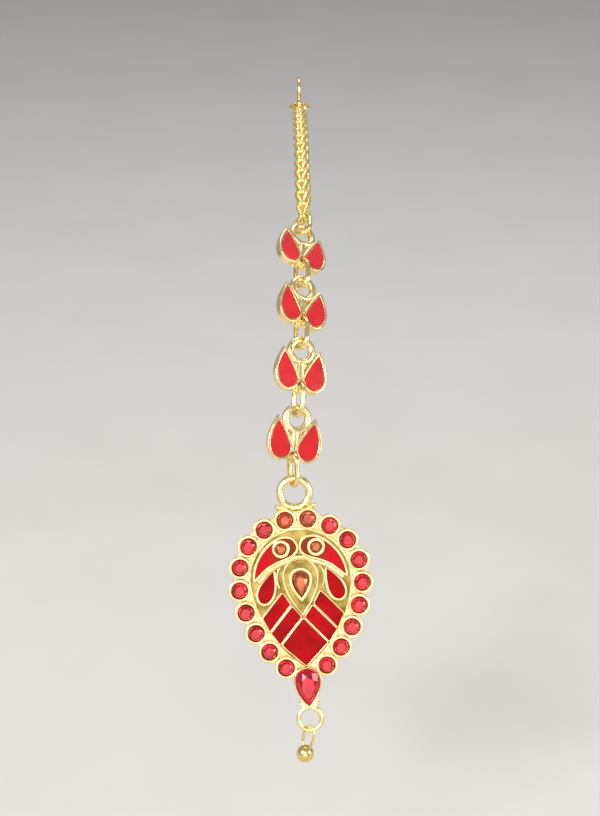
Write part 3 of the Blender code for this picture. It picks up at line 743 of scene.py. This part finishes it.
def make_hook():
    """Returns the middle of the hook's eye."""
    bend = arc(0, 0, HOOK_BEND_RADIUS, -90 * DEGREE, 90 * DEGREE, 22)
    eye_back = -HOOK_BEND_RADIUS - HOOK_EYE_RADIUS
    eye = arc(eye_back, -HOOK_STEM, HOOK_EYE_RADIUS, 90 * DEGREE, 90 * DEGREE + HOOK_EYE_TURN, 30)
    tip = [
        (HOOK_BEND_RADIUS, -HOOK_TIP_LENGTH * 0.6),
        (HOOK_BEND_RADIUS + HOOK_TIP_FLARE * 0.08, -HOOK_TIP_LENGTH * 0.73),
        (HOOK_BEND_RADIUS + HOOK_TIP_FLARE * 0.3, -HOOK_TIP_LENGTH * 0.85),
        (HOOK_BEND_RADIUS + HOOK_TIP_FLARE, -HOOK_TIP_LENGTH),
    ]
    path = [(0, back, up) for back, up in list(reversed(eye)) + bend + tip]
    hook = set_in(bent_wire(path, HOOK_WIRE, closed=False), hook_frame())
    hand_over(hook, "hair_hook_wire", "hook", LINK_GOLD)
    return Vector((0, eye_back, -HOOK_STEM))


def make_hook_ring(eye):
    """Returns the place of the ring's front wire."""
    middle = eye - Vector((0, HOOK_RING_RADIUS, 0))
    loop = ring(0, middle.y, middle.z, HOOK_RING_RADIUS, HOOK_RING_WIRE)
    hand_over(set_in(loop, hook_frame()), "ring_at_hook", "hook_ring", LINK_GOLD)
    return hook_frame() @ (middle - Vector((0, HOOK_RING_RADIUS, 0)))


def oval_path(full_length, full_width, thickness, steps=16):
    """An oval across the casting's plane, hung from its top."""
    round_end = (full_width - thickness) / 2
    length = full_length - thickness
    top = arc(0, -round_end, round_end, -90 * DEGREE, 90 * DEGREE, steps)
    foot = arc(0, round_end - length, round_end, 90 * DEGREE, 270 * DEGREE, steps)
    return [(0, y, x) for x, y in top + foot]


def chain_link_path():
    half_width = (CHAIN_WIDTH - CHAIN_WIRE) / 2
    half_depth = (CHAIN_DEPTH - CHAIN_WIRE) / 2
    front_right = [(right * half_width, up * CHAIN_PITCH, front * half_depth)
                   for right, front, up in CHAIN_LINK]
    front_left = [(-x, y, z) for x, y, z in reversed(front_right)]
    front = front_right + front_left[1:]
    back = [(x, y, -z) for x, y, z in reversed(front)]
    return smoothed(front + back[1:-1], steps=3)


def make_chain(place):
    """Returns how far down the chain's foot is, and the place of the ring's wire in its last fold."""
    holding = Vector((0, -(CHAIN_WIRE + HOOK_RING_WIRE) / 2 - PASS_GAP, 0))
    here = hang(place, upward_angle(0), 0, CHAIN_TURN, holding)
    end_path = oval_path(CHAIN_END_LENGTH, CHAIN_END_WIDTH, CHAIN_WIRE, steps=8)
    links = [set_in(bent_wire(end_path, CHAIN_WIRE, roundness=3), here)]
    place = here @ Vector((0, CHAIN_WIRE - CHAIN_END_LENGTH, 0))
    distance = CHAIN_END_LENGTH - CHAIN_WIRE - HOOK_RING_WIRE
    holding = Vector((0, CHAIN_LINK[-1][2] * CHAIN_PITCH - CHAIN_WIRE - PASS_GAP, 0))
    link = bent_wire(chain_link_path(), CHAIN_STRAND, roundness=3)
    end_link = bent_wire(chain_link_path(), CHAIN_END_STRAND, roundness=3)
    for number in range(CHAIN_LINKS):
        here = hang(place, upward_angle(distance + CHAIN_PITCH / 2), 0, CHAIN_TURN, holding)
        links.append(copied(end_link if number in (0, CHAIN_LINKS - 1) else link, here))
        place = here @ Vector((0, 0, 0))
        distance += CHAIN_PITCH
        holding = Vector((0, CHAIN_PITCH, 0))
    bpy.data.objects.remove(link)
    bpy.data.objects.remove(end_link)
    hand_over(joined(links), "braided_chain", "chain", CHAIN_GOLD)
    return distance, here @ Vector((0, (CHAIN_WIRE + CHAIN_RING_WIRE) / 2 + PASS_GAP, 0))


def leaf_outline():
    return smoothed(to_outline(LEAF), corners=(0,), steps=6)


def leaf_bed():
    return shrunk(leaf_outline(), LEAF_RIM)


def leaf_casting():
    """Two enamel trays under an eye, with a ringed hole between their feet."""
    half = LEAF_THICKNESS / 2
    outline = leaf_outline()
    leaf = tray(leaf_bed(), outline, -half, half - ENAMEL_DEPTH, half, 0.2 * MM)
    eye_wire = LEAF_EYE_RADIUS - LEAF_EYE_HOLE + 0.16 * MM
    eye = ring(0, 0, 0, LEAF_EYE_HOLE + eye_wire / 2, eye_wire, LEAF_THICKNESS / eye_wire)
    collar = ring(0, -LEAF_HOLE_DOWN, 0, LEAF_HOLE_RADIUS + LEAF_COLLAR / 2, LEAF_COLLAR,
                  LEAF_THICKNESS / LEAF_COLLAR)
    seam = [
        (-0.55 * MM, -LEAF_WEB_TOP), (0.55 * MM, -LEAF_WEB_TOP), (0.7 * MM, -LEAF_HOLE_DOWN + 1.0 * MM),
        (-0.7 * MM, -LEAF_HOLE_DOWN + 1.0 * MM),
    ]
    seam = block(filled(softened(seam, 0.2 * MM)), -half * 0.9, half * 0.95, 0.25 * MM)
    seam = drilled(seam, leaf_bed(), half - ENAMEL_DEPTH, LEAF_THICKNESS)
    seam = drilled(seam, mirrored(leaf_bed()), half - ENAMEL_DEPTH, LEAF_THICKNESS)
    side = LEAF_BAR_WIDTH / 2
    web = softened([(-side, -LEAF_WEB_TOP), (side, -LEAF_WEB_TOP), (side, -LEAF_BAR_BOTTOM),
                    (-side, -LEAF_BAR_BOTTOM)], 0.5 * MM)
    hole = circle(0, -LEAF_HOLE_DOWN, LEAF_HOLE_RADIUS, 24)
    leaf = drilled(leaf, hole, -LEAF_THICKNESS, LEAF_THICKNESS)
    web = tray(hole, web, -half * 0.8, -half, half * 0.25, 0.1 * MM)
    return joined(both_sides(leaf) + [eye, collar, seam, web])


def leaf_glaze():
    floor = LEAF_THICKNESS / 2 - ENAMEL_DEPTH + ENAMEL_GAP
    outline = shrunk(leaf_outline(), LEAF_RIM + ENAMEL_GAP)
    return block(filled(outline), floor, LEAF_THICKNESS / 2, 0.07 * MM)


def cup_places():
    right = [pear_point((i + 0.5) * CUP_PITCH) for i in range(CUP_COUNT // 2)]
    return right + [(-x, y) for x, y in right]


def horn_outline():
    outer = arc(0, -PEAR_TOP_DOWN, HORN_ARC_RADIUS, HORN_ARC_START, HORN_ARC_END, 7)
    outline = to_outline(HORN_INNER) + outer + to_outline(HORN_LOWER[1:])
    return smoothed(outline, corners=(len(HORN_INNER) + len(outer) - 1,), steps=3)


def panel_cells():
    """(name, outline, wall) of the cells on the right, and of the middle one."""
    corner = 0.28 * MM
    return (
        ("horn", horn_outline(), HORN_WALL),
        ("tear", tear(*SIDE_TEAR), HORN_WALL),
        ("lozenge_outer", softened(to_outline(LOZENGE_OUTER), corner), LOZENGE_WALL),
        ("lozenge_inner", softened(to_outline(LOZENGE_INNER), corner), LOZENGE_WALL),
        ("lozenge_middle", softened(to_outline(LOZENGE_MIDDLE), corner), LOZENGE_WALL),
    )


def eye_places():
    right, down = EYE_PLACE
    return ((right * MM, -down * MM), (-right * MM, -down * MM))


def rope():
    """A band of small slanting beads under the right horn, from its tip to the middle."""
    way = [Vector(point) for point in to_outline(HORN_LOWER)] + [Vector((0, -6.55 * MM))]
    bpy.ops.object.select_all(action="DESELECT")
    bpy.ops.mesh.primitive_uv_sphere_add(segments=12, ring_count=8, radius=ROPE_BEAD)
    bead = bpy.context.object
    edit(bead, "VERT")
    bpy.ops.transform.resize(value=(0.72, 1.35, 1.0), center_override=(0, 0, 0))
    leave()
    lengths = [(b - a).length for a, b in zip(way, way[1:])]
    beads = []
    for number in range(ROPE_BEADS):
        along = sum(lengths) * (number + 0.5) / ROPE_BEADS
        for start, end, length in zip(way, way[1:], lengths):
            if along <= length:
                break
            along -= length
        step = (end - start).normalized()
        spot = start + step * along + Vector((-step.y, step.x)) * ROPE_OFFSET
        turn = Matrix.Rotation(math.atan2(step.y, step.x) + 28 * DEGREE, 4, "Z")
        beads.append(copied(bead, Matrix.Translation((spot.x, spot.y, ROPE_HEIGHT)) @ turn))
    bpy.data.objects.remove(bead)
    return joined(beads)


def lug(table):
    half = to_outline(table)
    outline = softened(half + mirrored(half)[1:-1], 0.35 * MM)
    return block(filled(outline), LUG_BACK, LUG_FRONT, 0.25 * MM)


def pendant_casting():
    parts = [block(filled(pear(PLATE_MARGIN)), 0, PLATE_THICKNESS, 0.2 * MM)]
    parts[0].data.materials.append(CAST_GOLD)
    bed = PLATE_THICKNESS / 2
    panel = tray(pear(-PANEL_INSET - PANEL_WALL), pear(-PANEL_INSET), bed, PANEL_GROUND, PANEL_HEIGHT)
    # The panel's sunk ground takes the darker finish with painted shade.
    parts.append(coat_floor(panel, PANEL_GROUND, CAST_GOLD, SHADED_GROUND_GOLD))
    mouth = circle(0, 0, CUP_RADIUS - CUP_WALL, 36)
    cup = tray(mouth, circle(0, 0, CUP_RIM_RADIUS, 36), 0, CUP_FLOOR, CUP_HEIGHT, 0.14 * MM)
    parts += [copied(cup, Matrix.Translation((x, y, 0))) for x, y in cup_places()]
    bpy.data.objects.remove(cup)
    for name, outline, wall in panel_cells():
        cell = tray(outline, grown(outline, wall), bed, PANEL_GROUND - 0.02 * MM, CELL_HEIGHT)
        parts += [cell] if name == "lozenge_middle" else both_sides(cell)
    arch = [(x, y, CELL_HEIGHT - ARCH_WALL * 0.6) for x, y in to_outline(ARCH)]
    parts += both_sides(bent_wire(arch, ARCH_WALL, closed=False, roundness=3))
    x, y = eye_places()[0]
    eye = circle(x, y, EYE_STONE_RADIUS + STONE_GAP, 28)
    low = CUP_FLOOR + 0.45 * MM
    parts += both_sides(tray(eye, circle(x, y, EYE_CUP_RADIUS, 28), bed, low, CUP_HEIGHT, 0.2 * MM))
    ridge = tear(*RIDGE_TEAR, steps=44)
    ridge = tray(shrunk(ridge, RIDGE_WALL), ridge, bed, CHANNEL_FLOOR, RIDGE_HEIGHT, 0.12 * MM)
    # The channel floor takes the darker finish with painted shade.
    parts.append(coat_floor(ridge, CHANNEL_FLOOR, CAST_GOLD, SHADED_GROUND_GOLD))
    centre = tear(*CENTRE_TEAR)
    low = CHANNEL_FLOOR + 0.05 * MM
    parts.append(tray(centre, grown(centre, COLLET_WALL), bed, low, COLLET_HEIGHT, 0.14 * MM))
    wells = [centre] + [circle(x, y, EYE_STONE_RADIUS + STONE_GAP, 28) for x, y in eye_places()]
    for number in range(1 + CUP_COUNT, len(parts)):
        for well in wells:
            parts[number] = drilled(parts[number], well, CUP_FLOOR, COLLET_HEIGHT + 1 * MM)
    for well in wells:
        parts[1] = drilled(parts[1], well, CUP_FLOOR, COLLET_HEIGHT + 1 * MM)
    foot = tear(*FOOT_TEAR)
    parts.append(tray(shrunk(foot, TEAR_WALL), foot, 0, CUP_FLOOR, CUP_HEIGHT, 0.15 * MM))
    parts += both_sides(rope())
    parts += [lug(BAIL_LUG), lug(FOOT_LUG)]
    parts.append(ring(0, BAIL_UP, RING_FROM_BACK, BAIL_RADIUS, BAIL_WIRE))
    fuller = FOOT_RING_RADIUS + (FOOT_RING_FULLNESS - FOOT_RING_WIRE) / 2
    parts.append(ring(0, -FOOT_RING_DOWN, RING_FROM_BACK, fuller, FOOT_RING_FULLNESS,
                      FOOT_RING_WIRE / FOOT_RING_FULLNESS))
    for (right, down), radius in ((BAIL_GRANULE_PLACE, BAIL_GRANULE), (FOOT_GRANULE_PLACE, FOOT_GRANULE)):
        parts += both_sides(granule(right * MM, -down * MM, RING_FROM_BACK, radius))
    for part in parts:
        if not part.data.materials:
            part.data.materials.append(CAST_GOLD)
    return joined(parts)


def brilliant(radius):
    """A round cut stone with its foot at height 0."""
    bpy.ops.object.select_all(action="DESELECT")
    stone = None
    for height, share, sides, half_turns in STONE_CUT:
        bpy.ops.mesh.primitive_circle_add(
            vertices=sides, radius=radius * share, location=(0, 0, height * STONE_HEIGHT),
            rotation=(0, 0, half_turns * math.pi / sides))
        if stone is None:
            stone = bpy.context.object
            bpy.ops.object.mode_set(mode="EDIT")
    bpy.ops.mesh.select_all(action="SELECT")
    bpy.ops.mesh.convex_hull()
    bpy.ops.mesh.tris_convert_to_quads(face_threshold=0.5 * DEGREE, shape_threshold=math.pi)
    stone = leave()
    return set_in(stone, Matrix())


def tear_cut(table, inset):
    """A cut stone drawn out into a tear, with its foot at height 0."""
    outline = tear(*table, inset=inset)
    top = max(y for x, y in outline)
    foot = min(y for x, y in outline)
    half_length = (top - foot) / 2
    half_width = max(x for x, y in outline)
    stone = brilliant(1.0)
    edit(stone, "VERT")
    shape = bmesh.from_edit_mesh(stone.data)
    for vertex in shape.verts:
        turn = math.acos(max(-1, min(1, -vertex.co.y)))
        spread = abs(math.sin(turn / 2)) / TEAR_WIDEST
        vertex.co.x *= half_width * spread
        vertex.co.y = vertex.co.y * half_length + (top + foot) / 2
    bmesh.update_edit_mesh(stone.data)
    return leave()


def make_pendant(here):
    hand_over(set_in(pendant_casting(), here), "pendant_casting", "pendant_frame")
    for name, outline, wall in panel_cells():
        bed = PANEL_GROUND + ENAMEL_GAP
        inlay = block(filled(shrunk(outline, ENAMEL_GAP)), bed, CELL_HEIGHT - 0.06 * MM, 0.12 * MM)
        if name == "horn":
            round_eye = circle(*eye_places()[0], EYE_CUP_RADIUS + ENAMEL_GAP, 28)
            inlay = drilled(inlay, round_eye, PANEL_GROUND - 1 * MM, CUP_HEIGHT + 1 * MM)
        if name == "lozenge_middle":
            hand_over(set_in(inlay, here), "glaze_lozenge_middle", name, PANEL_GLAZE)
            continue
        node = name if name.startswith("lozenge") else f"{name}_enamel"
        for side, thing in zip(("right", "left"), both_sides(inlay)):
            glaze = HORN_GLAZE if name == "horn" else PANEL_GLAZE
            hand_over(set_in(thing, here), f"glaze_{name}_{side}", f"{node}_{side}", glaze)
    seat = Matrix.Translation((0, 0, CUP_FLOOR + STONE_GAP))
    stone = brilliant(CUP_RADIUS - CUP_WALL - STONE_GAP)
    for number, (x, y) in enumerate(cup_places(), 1):
        turned = Matrix.Translation((x, y, 0)) @ seat @ Matrix.Rotation(number * 37 * DEGREE, 4, "Z")
        set_stone = copied(stone, here @ turned)
        glass = RUSSET_CUT if number in TOP_STONES else RED_CUT
        hand_over(set_stone, f"cut_stone_{number:02d}", f"round_stone_{number:02d}", glass,
                  smooth=0)
    bpy.data.objects.remove(stone)
    for side, (x, y) in zip(("right", "left"), eye_places()):
        stone = set_in(brilliant(EYE_STONE_RADIUS), here @ Matrix.Translation((x, y, 0)) @ seat)
        hand_over(stone, f"cut_eye_{side}", f"eye_stone_{side}", AMBER_CUT, smooth=0)
    stone = set_in(tear_cut(CENTRE_TEAR, STONE_GAP), here @ seat)
    hand_over(stone, "cut_centre", "centre_stone", AMBER_CUT, smooth=0)
    stone = set_in(tear_cut(FOOT_TEAR, TEAR_WALL + STONE_GAP), here @ seat)
    hand_over(stone, "cut_foot", "foot_stone", RED_CUT, smooth=0)


def make_drop(pendant, angle):
    rise = (FOOT_RING_WIRE + DROP_WIRE) / 2 + PASS_GAP
    held = pendant @ Vector((0, rise - FOOT_RING_DOWN - FOOT_RING_RADIUS, RING_FROM_BACK))
    here = hang(held, angle, DROP_LEAN, DROP_TURN, Vector((0, 0, 0)))
    half_width = DROP_LOOP_WIDTH / 2
    half_length = DROP_LOOP_LENGTH / 2
    path = [(0, (y - 1) * half_length, x * half_width) for x, y in circle(0, 0, 1, 44)]
    ball = granule(0, -DROP_BEAD_DOWN, 0, DROP_BEAD_RADIUS)
    drop = set_in(joined([ball, bent_wire(path, DROP_WIRE)]), here)
    hand_over(drop, "ball_on_loop", "drop_bead", BEAD_GOLD)


def make_leaf_link(number, here, casting, glaze):
    hand_over(copied(casting, here), f"leaf_casting_{number}", f"leaf_link_{number}",
              CAST_GOLD)
    for side, source in (("right", glaze[0]), ("left", glaze[1])):
        hand_over(copied(source, here), f"leaf_glaze_{number}_{side}", f"leaf_enamel_{number}_{side}",
                  LEAF_GLAZE)


def make_strand(distance, place):
    casting = leaf_casting()
    glaze = both_sides(leaf_glaze())
    from_eye = Vector((0, LEAF_EYE_HOLE - HOLE_GAP - OVAL_WIRE / 2, 0))
    from_hole = Vector((0, -LEAF_HOLE_DOWN, 0))
    inside_bail = BAIL_RADIUS - (BAIL_WIRE + OVAL_WIRE) / 2 - PASS_GAP
    for name, lean, turn in STRAND:
        if name.startswith("leaf"):
            holding, letting = from_eye, from_hole
        elif name.startswith("oval"):
            holding, letting = Vector((0, 0, 0)), Vector((0, OVAL_WIRE - OVAL_LENGTH, 0))
        elif name == "chain_ring":
            holding, letting = Vector((0, 0, 0)), Vector((0, CHAIN_RING_WIRE - CHAIN_RING_LENGTH, 0))
        else:
            holding, letting = Vector((0, BAIL_UP + inside_bail, RING_FROM_BACK)), Vector((0, 0, 0))
        length = (letting - holding).length
        angle = upward_angle(distance + (length / 2 if name != "pendant" else 0))
        here = hang(place, angle, lean * DEGREE, turn * DEGREE, holding)
        if name.startswith("leaf"):
            make_leaf_link(name[-1], here, casting, glaze)
        elif name.startswith("oval"):
            loop = bent_wire(oval_path(OVAL_LENGTH, OVAL_WIDTH, OVAL_WIRE), OVAL_WIRE)
            hand_over(set_in(loop, here), f"oval_loop_{name[-1]}", name, LINK_GOLD)
        elif name == "chain_ring":
            loop = bent_wire(oval_path(CHAIN_RING_LENGTH, CHAIN_RING_WIDTH, CHAIN_RING_WIRE), CHAIN_RING_WIRE)
            hand_over(set_in(loop, here), "ring_under_chain", name, LINK_GOLD)
        else:
            make_pendant(here)
            make_drop(here, angle)
            aim_camera(here)
        place = here @ letting
        distance += length
    for spare in (casting, *glaze):
        bpy.data.objects.remove(spare)


# Floor, light and camera

LOOK_DOWN = 36 * DEGREE
PHOTO_FOCAL = 900.0
PHOTO_DISTANCE = 350 * MM
PHOTO_MIDDLE = (300.0, 408.0)
BAIL_PIXEL = (310.8, 277.2)
OBJECT_PIXEL = (314.0, 233.5)
CLOSER = 2.0


def aim_camera(pendant):
    """Stand where the photograph was taken from, with a longer lens on the object's middle."""
    ahead = Vector((0, math.cos(LOOK_DOWN), -math.sin(LOOK_DOWN)))
    up = Vector((0, math.sin(LOOK_DOWN), math.cos(LOOK_DOWN)))
    right = Vector((1, 0, 0))

    def towards(pixel):
        across = (pixel[0] - PHOTO_MIDDLE[0]) / PHOTO_FOCAL
        above = (PHOTO_MIDDLE[1] - pixel[1]) / PHOTO_FOCAL
        return ahead + right * across + up * above

    bail = pendant @ Vector((0, BAIL_UP, RING_FROM_BACK))
    lens = bpy.data.cameras.new("camera")
    lens.sensor_fit = "VERTICAL"
    lens.sensor_height = 24.0
    lens.lens = lens.sensor_height * PHOTO_FOCAL * CLOSER / 816
    lens.clip_start = 10 * MM
    camera = bpy.data.objects.new("camera", lens)
    bpy.context.scene.collection.objects.link(camera)
    camera.location = bail - towards(BAIL_PIXEL) * PHOTO_DISTANCE
    camera.rotation_euler = towards(OBJECT_PIXEL).to_track_quat("-Z", "Y").to_euler()
    bpy.context.scene.camera = camera


def make_floor():
    low = cad_low.z - 28 * MM
    bpy.ops.object.select_all(action="DESELECT")
    bpy.ops.mesh.primitive_plane_add(size=4.0, location=(0, 0, low))
    floor = bpy.context.object
    floor.name = "pale_floor"
    paint = new_finish("pale_floor_paint", (0.60, 0.58, 0.56), 0.0, 0.7)
    mottle(paint, 30, (0.59, 0.57, 0.55), (0.61, 0.59, 0.57))
    floor.data.materials.append(paint)


def soft_light(name, place, size, power, colour):
    lamp = bpy.data.lights.new(name, "AREA")
    lamp.shape = "RECTANGLE"
    lamp.size, lamp.size_y = size
    lamp.energy = power
    lamp.color = colour
    light = bpy.data.objects.new(name, lamp)
    bpy.context.scene.collection.objects.link(light)
    light.location = place
    middle = (cad_low + cad_high) / 2
    light.rotation_euler = (middle - Vector(place)).to_track_quat("-Z", "Y").to_euler()


def light_studio():
    soft_light("window_left", (-0.34, -0.42, 0.30), (0.30, 0.22), 2.6, (1.0, 0.98, 0.95))
    soft_light("window_right", (0.45, -0.25, 0.12), (0.20, 0.30), 1.2, (1.0, 0.97, 0.92))
    soft_light("top_sheet", (0.05, 0.20, 0.45), (0.35, 0.25), 1.2, (1.0, 1.0, 1.0))
    soft_light("front_sheet", (0.0, -0.95, 0.12), (0.70, 0.45), 1.4, (1.0, 0.99, 0.97))
    soft_light("high_sheet", (0.0, -0.76, 0.58), (0.50, 0.30), 1.0, (1.0, 0.99, 0.97))
    world = bpy.data.worlds.new("studio")
    bpy.context.scene.world = world
    world.use_nodes = True
    ground = world.node_tree.nodes["Background"]
    ground.inputs["Color"].default_value = (0.95, 0.97, 1.0, 1)
    ground.inputs["Strength"].default_value = 0.42
    bpy.context.scene.view_settings.view_transform = "Standard"


make_floor()
light_studio()
make_strand(*make_chain(make_hook_ring(make_hook())))
